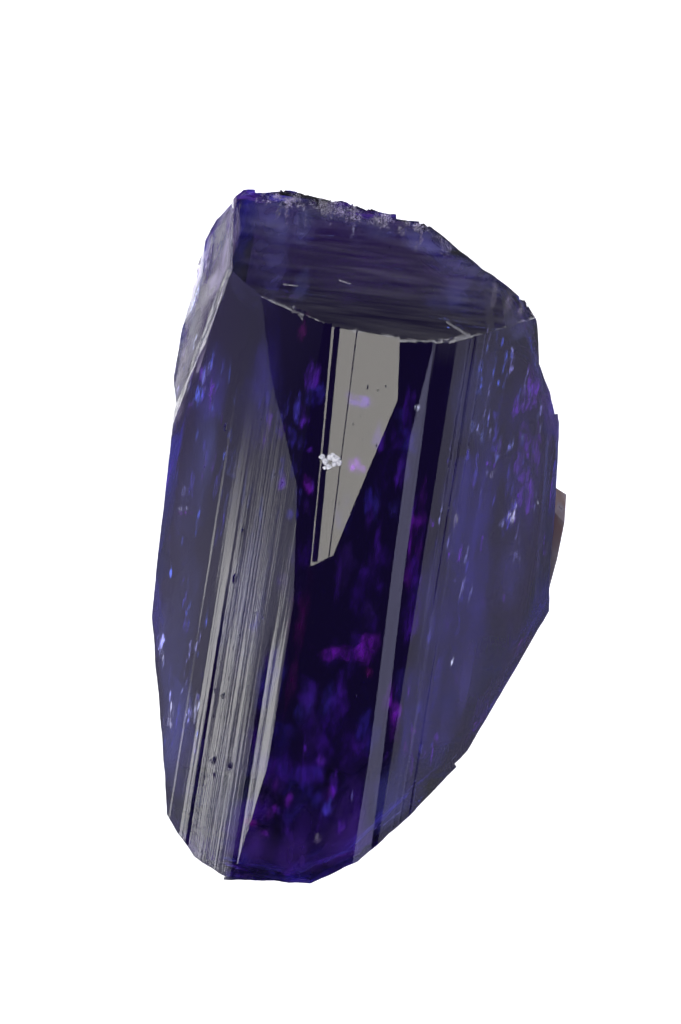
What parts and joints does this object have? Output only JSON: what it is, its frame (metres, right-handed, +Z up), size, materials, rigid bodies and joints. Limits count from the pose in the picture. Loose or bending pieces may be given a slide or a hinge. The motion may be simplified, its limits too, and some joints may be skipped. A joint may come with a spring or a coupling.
{
  "type": "rough tanzanite crystal",
  "caption": "Striated prism of dark violet-blue gem crystal with one sloping end face and broken ends, lying on its flat back face.",
  "frame": {"origin": "middle of the footprint's bounding box, on the surface the crystal lies on", "axes": "+Y along the prism to its sloping end face, +X to its right side seen from above, +Z up from the resting face"},
  "size_m": [0.0194, 0.0322, 0.0141],
  "materials": {
    "tanzanite": "vitreous crystal, clear violet-blue inside, with fine growth lines along its length",
    "white_mineral": "small frosty white grains grown on the front",
    "stained_edge": "thin translucent side plate with a brown iron stain"
  },
  "bodies": {
    "root": {"crystal": "tanzanite"}
  },
  "joints": []
}
